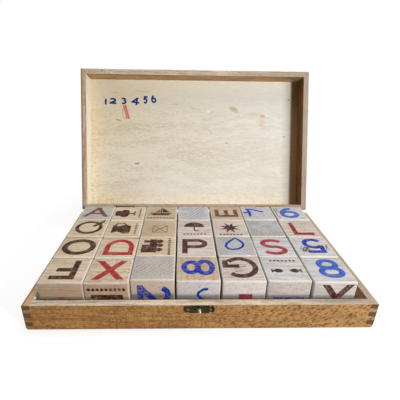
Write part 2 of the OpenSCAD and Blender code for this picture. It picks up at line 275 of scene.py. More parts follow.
def used(group, **inputs):
    """Puts a shader group to use, and gives its outputs by name."""
    return add("Group", inputs, node_tree=group)


def grained(vector, pale, dark, rays, seed):
    """Solid beech, in millimetres with the grain along X: growth rings, fibres and short dark rays."""
    place = vector + seed * (3.1, 1.7, 2.3)
    waver = cloud(place * (0.012, 0.05, 0.05))
    radius = length(place * (0.02, 1, 1) + (0, 31, 23))
    rings = step(worked("SINE", radius * 2.1 + waver * 24), -0.2, 1.2)
    fibres = cloud(place * (0.09, 1.3, 1.3), 1, 3, 0.6)
    mottles = cloud(place * (0.2, 0.5, 0.5), 1, 3, 0.7)
    patches = cloud(place * (0.035, 0.12, 0.12))
    share = rings * 0.16 + fibres * 0.5 + mottles * 0.5 + patches * 0.6
    plain = mixed(step(share, 0.6, 1.16), pale, dark)
    ray = worked("MINIMUM", spotted(place * (0.26, 0.62, 0.62), 0.38, 0.2, 0.35, 0.55) * rays, 1)
    return {"Color": mixed(ray, plain, mixed(0.62, plain, RAY_BROWN)), "Height": fibres - ray * 0.5}


def sawn_across(vector, pale, dark, slant, lines, seed):
    """Sawn end grain, in millimetres with the fibres along X: saw marks at a slant, and pores."""
    place = vector + seed * (0, 4.1, 2.9)
    across = parts(turned(place, (1, 0, 0), slant))[2]
    uneven = cloud(place * 0.1)
    strong = step(cloud(place * (0.2, 0.08, 0.08), 1, 1), 0.35, 0.7)
    marks = step(worked("SINE", across * 2 + uneven * 9), -0.4, 1) * strong * lines
    pores = cloud(place, 1.1, 4, 0.75)
    return {"Color": mixed(marks + step(pores, 0.42, 0.7), pale, dark), "Height": pores * 0.6 - marks}


def flecked(vector, slant):
    """Beech flecks on a flat face, in millimetres along X and Z: short dark dashes at a slant."""
    waver = add("TexNoise", {"Vector": vector, "Scale": 0.3})["Color"]
    place = turned(vector, (0, 1, 0), slant) * (0.26, 0.34, 0.68) + waver * 0.9
    return {"Mask": spotted(place, 0.54, 0.32, 0.2, 0.46)}


RAY_BROWN = (0.10, 0.035, 0.012, 1)
WOOD = {"Vector": "Vector", "Pale": "Color", "Dark": "Color", "Seed": "Float"}
beech_grain = effect("beech grain", grained, **WOOD, Rays="Float")
sawn_end = effect("sawn end", sawn_across, **WOOD, Slant="Float", Lines="Float")
beech_flecks = effect("beech flecks", flecked, Vector="Vector", Slant="Float")
BARE = {"pale": ((254, 250, 238), (242, 228, 202)),
        "middling": ((200, 166, 122), (152, 114, 72)),
        "brown": ((134, 93, 46), (92, 57, 23))}
# Which bare boards take which tone. The pale insides of the two left walls are partly painted light, where
# they face the lamp, and the brown inside of the lid's right wall is partly painted shade, over the boards'
# own tones.
LIT_AND_SHADED_BOARDS = {"tray left": "pale", "lid left": "pale", "lid right": "brown"}
VARNISH_PALE, VARNISH_DARK = (192, 138, 64), (122, 70, 22)
END_PALE, END_DARK = (100, 64, 38), (62, 36, 18)
RIM_PALE, RIM_DARK = (212, 194, 172), (164, 138, 114)
RIMS = {"tray left": (204, 166, 126), "tray right": (220, 198, 160),
        "tray front": (224, 208, 184), "lid back": (186, 178, 168)}
front_low, front_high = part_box("tray_front")
case_half = front_high.x / MM
case_front = -front_low.y / MM
half_height = front_high.z / MM


def case_look(place, grain, end, pale, dark, rim, seed):
    """The case's wood by place, in millimetres from the middle of a half's outer face, rim upwards."""
    bare = used(beech_grain, Vector=grain, Pale=pale, Dark=dark, Rays=0.35, Seed=seed)["Color"]
    rim_wood = used(beech_grain, Vector=grain, Pale=rim, Dark=RIM_DARK, Rays=0.6, Seed=seed)["Color"]
    varnished = used(beech_grain, Vector=grain, Pale=VARNISH_PALE, Dark=VARNISH_DARK, Rays=0.3, Seed=seed)
    ends = used(sawn_end, Vector=grain, Pale=END_PALE, Dark=END_DARK, Slant=1.2, Lines=0.7, Seed=seed)
    x, y, z = parts(place)
    from_end = case_half - abs(x)
    from_side = case_front - abs(y)
    outside = step(worked("MINIMUM", worked("MINIMUM", from_end, from_side), z), 2.2, 1.8)
    at_rim = step(z, half_height - 0.5, half_height - 0.3)
    rightward = step(x, -case_half, case_half)
    calm = 1 - step(from_end, 1, 0.5) * 0.55
    rising_share = step(x, -30, 20)
    falling = used(beech_flecks, Vector=grain, Slant=-0.6)["Mask"] * 0.75 * (1 - rising_share)
    rising = used(beech_flecks, Vector=grain, Slant=0.55)["Mask"] * rising_share
    flecks = (falling + rising) * calm
    streaked = step(x, 50, 0) * (step(x, -110, -40) * 0.6 + 0.4) * calm
    bands = step(cloud(place * (0.42, 0.42, 0.035), 1, 3, 0.65), 0.5, 0.66) * streaked
    threads = step(cloud(place * (0.03, 0.03, 1.1)), 0.5, 0.68)
    speckle = cloud(grain, 0.7, 2, 0.6)
    soiling = cloud(place, 0.06, 3, 0.7)
    worn_edge = step(z, half_height - 1.6, half_height - 0.6) * step(cloud(place, 0.35, 3, 0.7), 0.4, 0.6)
    golden = layered(varnished["Color"],
                     (bands * 0.85, (120, 68, 20)),
                     (threads * 0.45, (206, 160, 88)),
                     (rightward * 0.5, (174, 138, 90)),
                     (flecks * 0.88, mixed(rightward, (122, 70, 24), (90, 46, 12))),
                     (step(speckle, 0.52, 0.68) * 0.3, (116, 70, 26)),
                     (step(speckle, 0.46, 0.34) * 0.3, (214, 174, 108)),
                     (step(soiling, 0.5, 0.8) * 0.4, (122, 78, 40)),
                     (worn_edge * 0.6, (132, 92, 56)))
    run_over = step(from_end - soiling * 3, 1.6, -0.4) * step(x, case_half, -case_half)
    rim_colour = layered(rim_wood, (step(x, 30, 120) * 0.6, (150, 133, 120)),
                         (run_over * 0.75, (150, 104, 52)))
    varnish = outside * (1 - at_rim)
    return {"Color": layered(bare, (outside, golden), (end * outside, ends["Color"]), (at_rim, rim_colour)),
            "Roughness": 0.78 - varnish * 0.34, "Varnish": varnish * 0.15, "Height": varnished["Height"]}


def surface(name):
    """A new material with its shader."""
    material = bpy.data.materials.new(name)
    material.use_nodes = True
    return material


def local(material, place):
    """The surface's place in millimetres, in the frame that a matrix stands for."""
    where = add("TexCoord", tree=material.node_tree)["Object"]
    inputs = {"Vector": where, "Location": place.to_translation(), "Rotation": place.to_euler(),
              "Scale": (MM, MM, MM)}
    return add("Mapping", inputs, vector_type="TEXTURE")[0]


def dressed(material, height, relief, **looks):
    """Sets the shader's sockets by name, and its normal from a height and how deep that is in mm."""
    looks["Normal"] = add("Bump", {"Height": height, "Distance": relief * MM, "Strength": 1})[0]
    shader = material.node_tree.nodes["Principled BSDF"].inputs
    for label, value in looks.items():
        socket = shader[label.replace("_", " ")]
        if isinstance(value, Wire):
            material.node_tree.links.new(value.socket, socket)
        else:
            socket.default_value = value


def finished(material, *nodes):
    """Gives CAD nodes their material."""
    for node in nodes:
        data = frame["nodes"][node].data
        data.materials.clear()
        data.materials.append(material)


lid_joint = next(joint for joint in frame["joints"] if joint["name"] == "lid_hinge")
hinge_axis = Vector(lid_joint["pos_m"])
lid_angle = math.radians(min(lid_joint["range_deg"]))
tray_place = Matrix.Identity(4)
lid_shut = Matrix.Translation((0, 0, 2 * hinge_axis.z)) @ Matrix.Rotation(math.pi, 4, "X")
lid_place = (Matrix.Translation(hinge_axis) @ Matrix.Rotation(lid_angle, 4, "X")
             @ Matrix.Translation(-hinge_axis) @ lid_shut)
case_wood = effect("case wood", case_look, Place="Vector", Grain="Vector", End="Float", Pale="Color",
                   Dark="Color", Rim="Color", Seed="Float")
END_DEPTH = 0.25
for half, half_place in (("tray", tray_place), ("lid", lid_place)):
    for number, side in enumerate(("front", "back", "left", "right")):
        material = surface(f"{half} {side} beech")
        place = local(material, half_place)
        crossways = side in ("left", "right")
        grain = place
        if crossways:
            grain = add("Mapping", {"Vector": place, "Rotation": (0, 0, math.pi / 2)})[0]
        along = abs(parts(place)[1 if crossways else 0])
        end_at = (case_front if crossways else case_half) - END_DEPTH
        pale, dark = BARE[LIT_AND_SHADED_BOARDS.get(f"{half} {side}", "middling")]
        wood = used(case_wood, Place=place, Grain=grain, End=step(along, end_at, end_at + END_DEPTH / 2),
                    Pale=pale, Dark=dark, Rim=RIMS.get(f"{half} {side}", RIM_PALE),
                    Seed=7 * number + (3 if half == "lid" else 0))
        dressed(material, wood["Height"], 0.06, Base_Color=wood["Color"], Roughness=wood["Roughness"],
                Coat_Weight=wood["Varnish"], Coat_Roughness=0.28, Specular_IOR_Level=0.25)
        finished(material, f"{half}_{side}")


# The two large panels: thin birch plywood let into a rabbet all round and glued. Its cream face
# has a wavy grain, specks of glue near the walls, and the stains and scuffs of long use. The lid's
# panel also has painted light towards its top and a painted shadow along its right wall.
def veneered(vector, pale, dark, seed):
    """Rotary-cut birch in millimetres, its figure running along X."""
    place = vector + seed * (5.3, 3.7, 1.9)
    broad = cloud(place * (0.006, 0.02, 0.02), 1, 3, 0.55)
    waves = step(worked("SINE", parts(place)[1] * 0.26 + broad * 30), -1, 1)
    fine = cloud(place * (0.1, 0.55, 0.55), 1, 4, 0.85)
    patches = cloud(place * (0.009, 0.016, 0.016), 1, 3)
    grit = cloud(place * (0.3, 0.7, 0.7))
    share = waves * 0.1 + fine * 0.85 + patches * 0.42 + grit * 0.6
    return {"Color": mixed(step(share, 0.8, 1.28), pale, dark), "Height": fine}


def blotted(vector, centre, half, turn, ragged):
    """A ragged spot: 1 in its middle and 0 outside, at a centre, with half sizes and a turn."""
    place = worked("DIVIDE", turned(vector - centre, (0, 0, 1), turn), half)
    noise = cloud(vector * (0.7, 1.4, 1), 0.6, 5, 0.8) - 0.45
    return {"Mask": step(noise * ragged + length(place * (1, 1, 0)), 1.1, 0.4)}


birch_veneer = effect("birch veneer", veneered, **WOOD)
blot = effect("blot", blotted, Vector="Vector", Centre="Vector", Half="Vector", Turn="Float", Ragged="Float")
PLY_PALE, PLY_DARK = (230, 222, 204), (205, 192, 167)
wall = front_high.y / MM + case_front
inner_half_x = case_half - wall
inner_half_y = case_front - wall
# Marks on the lid's panel, from its middle as seen with the lid open: centre, half sizes, turn in
# degrees, colour, strength and raggedness. They are scuffs, stains, glue and small dark specks.
LID_MARKS = (
    ((48.5, 42), (8.6, 4.4), 28, (178, 148, 100), 0.62, 2.4),
    ((84.5, 33.8), (4.2, 2.8), 15, (190, 136, 66), 0.68, 2.2),
    ((76, 35.4), (14, 5), 8, (208, 180, 116), 0.3, 3.2),
    ((84, 24.4), (5.5, 9), 0, (208, 182, 122), 0.36, 3),
    ((16.2, 38.9), (2, 1.3), 0, (255, 252, 240), 0.9, 0.6),
    ((20, 13.4), (3.4, 4), 35, (214, 206, 218), 0.8, 1.5),
    ((-72, -26.1), (4.6, 1.6), -6, (140, 104, 60), 0.8, 1),
    ((-95, 27.4), (5, 1.3), 10, (170, 138, 84), 0.75, 1.2),
    ((39.5, 0.4), (3, 0.9), 0, (150, 124, 92), 0.8, 1),
    ((112, 8.4), (1.6, 1), 0, (150, 104, 84), 0.85, 0.8),
    ((117.5, 54.4), (2.2, 1.2), 0, (138, 112, 76), 0.85, 0.8),
    ((-112, 55.4), (4, 1.4), 0, (196, 160, 92), 0.4, 3.4),
    ((-98, 60.4), (8, 1.6), 0, (200, 164, 100), 0.35, 3.8),
    ((-66, 62.4), (13, 1.8), 2, (198, 160, 104), 0.35, 3.8),
    ((-3, 43.4), (9, 3), 20, (208, 180, 116), 0.36, 3),
    ((-24, 47.4), (4, 1.2), 0, (196, 160, 90), 0.6, 1.6),
)
for half, half_place in (("lid", lid_place), ("tray", tray_place)):
    material = surface(f"{half} birch plywood")
    place = local(material, half_place)
    wood = used(birch_veneer, Vector=place, Pale=PLY_PALE, Dark=PLY_DARK, Seed=1 if half == "lid" else 4)
    x, y, z = parts(place)
    near_walls = step(worked("MINIMUM", inner_half_x - abs(x), inner_half_y - abs(y)), 26, 1)
    glue = step(cloud(place * (0.22, 0.4, 0.2), 1, 3, 0.7), 0.54, 0.62) * near_walls
    specks = spotted(place * (0.22, 0.5, 0.4), 0.34, 0.16, 0.6, 0.8)
    specks = specks * worked("MAXIMUM", near_walls, step(x, 0, -90) * 0.4)
    layers = [(near_walls * 0.25, (236, 222, 184)), (glue * 0.75, (204, 172, 92)),
              (specks * 0.7, (190, 154, 82))]
    if half == "lid":
        # A painted light makes the panel paler towards the top, where the top wall shades it.
        painted_top_light = step(y, 15, 68)
        yellowed = step(x, 0, -120) * step(y, -50, 50)
        # The panel is whiter in its lower middle.
        whiter_low_middle = step(x, -100, -30) * step(x, 120, 40) * step(y, 0, -60)
        cool = step(x + y * 0.4, -20, 130)
        veins = step(worked("SINE", cloud(place * (0.007, 0.028, 0.02), 1, 3) * 80), 0.6, 1)
        veins = veins * step(x, -70, 60)
        # A painted shadow of the right wall on the panel: a soft grey penumbra, then a dark brown band along
        # the wall.
        painted_penumbra = step(x, inner_half_x - 22, inner_half_x - 9)
        painted_wall_shadow = step(x, inner_half_x - 12, inner_half_x - 6)
        layers += [(painted_top_light * 0.6, (250, 244, 230)), (yellowed * 0.28, (204, 178, 112)),
                   (whiter_low_middle * 0.36, (250, 250, 246)), (cool * 0.42, (224, 228, 228)),
                   (veins * 0.22, (250, 248, 242)), (painted_penumbra * 0.55, (150, 144, 128)),
                   (painted_wall_shadow * 0.85, (142, 98, 46))]
        for centre, half_size, turn, tint, strength, ragged in LID_MARKS:
            mark = used(blot, Vector=place, Centre=(*centre, 0), Half=(*half_size, 1),
                        Turn=math.radians(turn), Ragged=ragged)
            layers.append((mark["Mask"] * strength, tint))
    varnished = mixed(0.7, wood["Color"], (196, 148, 90))
    dressed(material, wood["Height"], 0.04, Roughness=0.62, Specular_IOR_Level=0.3,
            Base_Color=layered(wood["Color"], *layers, (step(z, 1.2, 0.8), varnished)))
    finished(material, "lid_panel" if half == "lid" else "tray_floor")


# The hinges, their pins and the screws: rolled sheet brass gone dull and brownish, two leaves to a
# hinge and two slotted screws to a leaf. They stand behind the case and show only from the back.
def tarnished(vector, size):
    """Handled metal: how far it has darkened, from 0 to 1, and its fine scratches."""
    stain = cloud(vector, size, 4, 0.65)
    return {"Dull": step(stain, 0.35, 0.68), "Height": cloud(vector * (0.8, 6, 6)) + stain * 0.5}


tarnish = effect("tarnish", tarnished, Vector="Vector", Size="Float")


def metal(name, bright, dull, patch, smooth, rough, relief):
    """A tarnished metal: two colours, the size of its patches per millimetre, and its gloss."""
    material = surface(name)
    stain = used(tarnish, Vector=local(material, tray_place), Size=patch)
    dressed(material, stain["Height"], relief, Metallic=1, Base_Color=mixed(stain["Dull"], bright, dull),
            Roughness=stain["Dull"] * (rough - smooth) + smooth)
    return material


hinge_brass = metal("hinge brass", (132, 112, 74), (74, 58, 36), 0.35, 0.46, 0.62, 0.03)
screw_brass = metal("screw brass", (176, 146, 90), (92, 70, 40), 0.8, 0.28, 0.5, 0.02)
finished(hinge_brass, "tray_leaf_left", "tray_leaf_right", "lid_leaf_left", "lid_leaf_right",
         "hinge_pin_left", "hinge_pin_right")
finished(screw_brass, "tray_hinge_screws", "lid_hinge_screws")


# The catch: a pressed plate with a ball stud on the tray, and a plate with a hinged tongue on the
# lid, all thin brass gone dark olive. Two small nails hold each plate, duller than the stud's ball.
aged_brass = metal("aged brass", (74, 66, 38), (12, 10, 6), 0.6, 0.28, 0.46, 0.06)
nail_brass = metal("nail brass", (124, 112, 76), (44, 38, 22), 0.9, 0.24, 0.42, 0.02)
bright_brass = metal("rubbed brass", (176, 166, 140), (70, 60, 40), 0.6, 0.16, 0.34, 0.02)


def collected(name, bm, body, materials):
    """Turns a finished bmesh into a piece at the origin that rides on a CAD body."""
    bmesh.ops.recalc_face_normals(bm, faces=bm.faces)
    made = bpy.data.objects.new(name, bpy.data.meshes.new(name))
    bm.to_mesh(made.data)
    bm.free()
    for material in materials:
        made.data.materials.append(material)
    bpy.context.scene.collection.objects.link(made)
    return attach(made, body)


SHARP = math.radians(30)
FLAT = math.radians(1)
WELD = 0.002 * MM
EASING_STEPS = 2


def eased(name, node, body, radius, material):
    """A CAD node's shape with its edges rounded over, standing for that node."""
    bm = bmesh.new()
    bm.from_mesh(frame["nodes"][node].data)
    bmesh.ops.remove_doubles(bm, verts=bm.verts, dist=WELD)
    bmesh.ops.dissolve_limit(bm, angle_limit=FLAT, verts=bm.verts, edges=bm.edges)
    corners = [edge_highlight for edge_highlight in bm.edges
               if len(edge_highlight.link_faces) == 2 and edge_highlight.calc_face_angle() > SHARP]
    bmesh.ops.bevel(bm, geom=corners, offset=radius, offset_type="OFFSET", segments=EASING_STEPS,
                    profile=0.5, affect="EDGES", clamp_overlap=True, material=-1)
    for face in bm.faces:
        face.smooth = True
    made = collected(name, bm, body, (material,))
    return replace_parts(made, node)


PLATE_EASING = 0.22 * MM
for node, body in (("catch_plate", "tray"), ("hasp_plate", "lid"), ("hasp_tongue", "hasp")):
    finished(aged_brass, node)
    eased(node + "_worn", node, body, PLATE_EASING, aged_brass)
finished(nail_brass, "catch_nails", "hasp_nails")
finished(bright_brass, "catch_stud", "hasp_pin")


# The blocks: solid beech cubes about 34 mm across, sawn from square strip, so that two faces show
# end grain and four long grain. All edges are rounded over with a painted highlight along them, the
# blocks are soiled in patches, and each has its own shade.
def block_look(vector, half, pale, dark, rays, slant, seed):
    """A block's wood, in millimetres from its middle with the grain along X."""
    long_grain = used(beech_grain, Vector=vector, Pale=pale, Dark=dark, Rays=rays, Seed=seed)
    end_grain = used(sawn_end, Vector=vector, Pale=mixed(0.62, pale, (190, 191, 195)),
                     Dark=mixed(0.8, pale, (124, 119, 118)), Slant=slant, Lines=rays, Seed=seed)
    x, y, z = parts(abs(vector) - half)
    at_end = step(x, -0.6, -0.3)
    to_edge = worked("MAXIMUM", worked("MINIMUM", x, y), worked("MINIMUM", worked("MAXIMUM", x, y), z))
    # A painted highlight along the rounded edges: paler, and glossier.
    edge_highlight = step(to_edge + cloud(vector, 0.5, 3, 0.7) * 1.6, -0.9, 0.5)
    hands = step(cloud(vector, 0.05, 3, 0.6), 0.5, 0.75)
    return {"Color": layered(long_grain["Color"], (at_end, end_grain["Color"]),
                             (hands * 0.22, (178, 152, 122)), (edge_highlight * 0.55, (236, 229, 216))),
            "Roughness": 0.6 - edge_highlight * 0.26,
            "Height": long_grain["Height"] * (1 - at_end) + end_grain["Height"] * at_end}


block_wood = effect("block wood", block_look, **WOOD, Half="Vector", Rays="Float", Slant="Float")
TONES = {
    "cream": ((216, 198, 174), (180, 154, 128)),
    "honey": ((213, 195, 167), (180, 156, 126)),
    "tan": ((196, 176, 150), (164, 140, 114)),
    "pink": ((210, 198, 188), (176, 156, 146)),
    "grey": ((188, 181, 172), (160, 150, 140)),
    "cool": ((208, 205, 205), (174, 168, 166)),
}
# The frame of a block's wood, by the way in which its grain runs.
GRAIN_TURN = {"x": Matrix.Identity(4), "y": Matrix.Rotation(math.pi / 2, 4, "Z"),
              "z": Matrix.Rotation(-math.pi / 2, 4, "Y")}


def seat(node):
    """Where a block stands: its middle and its slight turn as a matrix, and its half sizes."""
    mesh = frame["nodes"][node].data
    low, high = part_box(node)
    facing = max((face for face in mesh.polygons if face.normal.x > 0.9), key=lambda face: face.area)
    turn = math.atan2(facing.normal.y, facing.normal.x)
    place = Matrix.Translation((low + high) / 2) @ Matrix.Rotation(turn, 4, "Z")
    inside = [place.inverted() @ vertex.co for vertex in mesh.vertices]
    return place, Vector([max(abs(point[axis]) for point in inside) for axis in range(3)])


# Which way the grain of each block runs, its shade, how strong its rays are, and the slant of the
# saw marks on its ends, the front row first and each row from left to right.
BLOCKS = {
    "f": ("x", "cream", 0.25, 0.5), "x": ("x", "cream", 0.8, 2.0), "plain_front": ("z", "tan", 0.5, 0.8),
    "eight_turned": ("y", "tan", 0.8, 0.9), "g": ("x", "pink", 0.7, 1.1),
    "twin_fish": ("x", "cool", 0.4, 0.4), "eight": ("x", "cool", 0.2, 2.2),
    "o": ("x", "honey", 0.3, 1.4), "d": ("x", "cream", 0.6, 0.6), "train": ("x", "honey", 0.3, 2.4),
    "p": ("x", "pink", 0.2, 0.9), "ink_loop": ("z", "grey", 0.8, 2.3), "s": ("x", "cool", 0.3, 1.7),
    "five": ("x", "cool", 0.3, 0.3), "q": ("x", "honey", 0.4, 1.0), "jug": ("x", "honey", 0.2, 0.7),
    "pane": ("x", "tan", 0.2, 1.2), "umbrella": ("x", "pink", 0.3, 2.0), "star": ("x", "pink", 0.4, 0.8),
    "plain_back": ("z", "grey", 1.8, 2.5), "l": ("x", "pink", 0.9, 1.3), "a": ("x", "grey", 0.2, 2.1),
    "tree": ("x", "cream", 0.3, 0.4), "boat": ("x", "tan", 0.2, 1.5), "sawn": ("z", "cool", 1.5, 0.75),
    "e": ("x", "tan", 0.5, 2.2), "ink_four": ("z", "cool", 0.7, 2.2), "six": ("x", "cool", 0.6, 1.0),
}
# The tint of the front row's fronts and how strong it is. These also have pores drawn out along the
# row, and a painted shade: a grey band at their foot, just above the rim.
FRONTS = {
    "f": ((168, 134, 112), 0.6), "x": ((168, 134, 112), 0.55), "plain_front": ((208, 188, 172), 0.7),
    "eight_turned": ((226, 222, 226), 0.5), "g": ((228, 224, 222), 0.6),
    "twin_fish": ((196, 176, 166), 0.4), "eight": ((196, 188, 184), 0.3),
}
EDGE_RADIUS = 0.35 * MM
for number, (name, (axis, tone, rays, slant)) in enumerate(BLOCKS.items()):
    place, half = seat("block_" + name)
    material = surface(f"block {name} beech")
    sizes = Vector((half.z, half.y, half.x)) if axis == "z" else half
    pale, dark = TONES[tone]
    wood = used(block_wood, Vector=local(material, place @ GRAIN_TURN[axis]), Half=sizes / MM, Pale=pale,
                Dark=dark, Rays=rays, Slant=slant, Seed=11 + 5 * number)
    colour = wood["Color"]
    if name in FRONTS:
        tint, strength = FRONTS[name]
        seated = local(material, place)
        x, y, z = parts(seated)
        front = step(y, 0.8 - half.y / MM, 0.2 - half.y / MM)
        pores = step(cloud(seated * (0.3, 1, 1), 0.8, 3, 0.75), 0.5, 0.66)
        over_rim = z + (place.translation.z / MM - half_height)
        # A painted shade: a grey band on the fronts just above the rim.
        rim_shade = step(over_rim, 3.6, -0.4) * step(over_rim, -4, -1.5)
        colour = layered(colour, (front * strength, tint),
                         (pores * front * 0.32, (134, 104, 88)),
                         (rim_shade * front * 0.66, (62, 68, 76)))
    dressed(material, wood["Height"], 0.07, Base_Color=colour, Roughness=wood["Roughness"],
            Specular_IOR_Level=0.15)
    eased("cube_" + name, "block_" + name, "block_" + name, EDGE_RADIUS, material)


# The prints: letters, digits and small pictures stamped in brown, red or blue ink on the long
# grain, a row of dots under each picture, and children's pen and pencil marks on bare ends.
def bar(*ends):
    """A straight stroke with square ends, between places on a sheet from -1 to 1 each way."""
    return [Vector(point) for point in zip(ends[::2], ends[1::2])], True


def bow(u, v, reach_u, reach_v, start, end):
    """A curved stroke round a point, between two angles in degrees, anticlockwise from the right."""
    count = max(4, round(abs(end - start) / 9))
    angles = [math.radians(start + (end - start) * n / count) for n in range(count + 1)]
    return [Vector((u + reach_u * math.cos(a), v + reach_v * math.sin(a))) for a in angles], False


def run(*strokes):
    """Several strokes drawn without lifting the pen."""
    return [point for points, square in strokes for point in points], False


STEM, RIGHT_STEM = bar(-1, -1, -1, 1), bar(1, -1, 1, 1)
HEAD, FOOT = bar(-1, 1, 1, 1), bar(-1, -1, 1, -1)
RING = bow(0, 0, 1, 1, 0, 360)
GLYPHS = {
    "A": [bar(-1, -1, 0, 1), bar(1, -1, 0, 1), bar(-0.6, -0.38, 0.6, -0.38)],
    "B": [STEM, bar(-1, 1, 0.2, 1), bar(-1, 0.05, 0.3, 0.05), bar(-1, -1, 0.3, -1),
          bow(0.2, 0.53, 0.65, 0.47, 90, -90), bow(0.3, -0.47, 0.7, 0.53, 90, -90)],
    "C": [bow(0, 0, 1, 1, 48, 312)],
    "D": [STEM, bar(-1, 1, -0.1, 1), bar(-1, -1, -0.1, -1), bow(-0.1, 0, 1.1, 1, 90, -90)],
    "E": [STEM, HEAD, bar(-1, 0, 0.8, 0), FOOT],
    "F": [STEM, HEAD, bar(-1, 0.02, 0.6, 0.02)],
    "G": [bow(0, 0, 1, 1, 46, 318), bar(0.25, -0.12, 1, -0.12), bar(1, -0.12, 1, -0.62)],
    "H": [STEM, RIGHT_STEM, bar(-1, 0, 1, 0)],
    "K": [STEM, bar(-1, -0.2, 1, 1), bar(-0.4, 0.15, 1, -1)],
    "L": [STEM, FOOT],
    "M": [STEM, RIGHT_STEM, bar(-1, 1, 0, -0.4), bar(0, -0.4, 1, 1)],
    "N": [STEM, RIGHT_STEM, bar(-1, 1, 1, -1)],
    "O": [RING],
    "P": [STEM, bar(-1, 1, 0.25, 1), bar(-1, -0.12, 0.25, -0.12), bow(0.25, 0.44, 0.75, 0.56, 90, -90)],
    "Q": [RING, bar(0.3, -0.42, 1.02, -0.98)],
    "R": [STEM, bar(-1, 1, 0.25, 1), bar(-1, -0.05, 0.25, -0.05),
          bow(0.25, 0.475, 0.7, 0.525, 90, -90), bar(0, -0.05, 1, -1)],
    "S": [run(bow(0, 0.5, 0.92, 0.5, 28, 270), bow(0, -0.5, 1, 0.5, 84, -152))],
    "T": [HEAD, bar(0, 1, 0, -1)],
    "U": [bar(-1, 1, -1, -0.2), bar(1, 1, 1, -0.2), bow(0, -0.2, 1, 0.8, 180, 360)],
    "V": [bar(-1, 1, 0, -1), bar(1, 1, 0, -1)],
    "X": [bar(-1, -1, 1, 1), bar(-1, 1, 1, -1)],
    "Y": [bar(-1, 1, 0, 0), bar(1, 1, 0, 0), bar(0, 0, 0, -1)],
    "Z": [HEAD, bar(1, 1, -1, -1), FOOT],
    "0": [bow(0, 0, 0.8, 1, 0, 360)],
    "1": [bar(0.1, 1, 0.1, -1), bar(0.1, 1, -0.8, 0.4)],
    "2": [run(bow(0, 0.42, 0.95, 0.58, 165, -38), bar(-1, -1)), FOOT],
    "3": [run(bow(-0.1, 0.52, 0.9, 0.48, 150, -80), bow(-0.1, -0.46, 1.05, 0.54, 80, -150))],
    "4": [bar(0.4, -1, 0.4, 1), bar(0.4, 1, -1, -0.35), bar(-1, -0.35, 1, -0.35)],
    "5": [bar(-0.75, 1, 0.8, 1), bar(-0.75, 1, -0.85, 0.2), bow(-0.05, -0.34, 1, 0.66, 140, -148)],
    "6": [bow(0, -0.38, 1, 0.62, 0, 360), bow(0.62, -0.36, 1.62, 1.36, 180, 92)],
    "7": [HEAD, bar(1, 1, -0.3, -1)],
    "8": [bow(0, 0.5, 0.84, 0.5, 0, 360), bow(0, -0.48, 1, 0.52, 0, 360)],
    "9": [bow(0, 0.38, 1, 0.62, 0, 360), bow(-0.62, 0.36, 1.62, 1.36, 0, -88)],
}
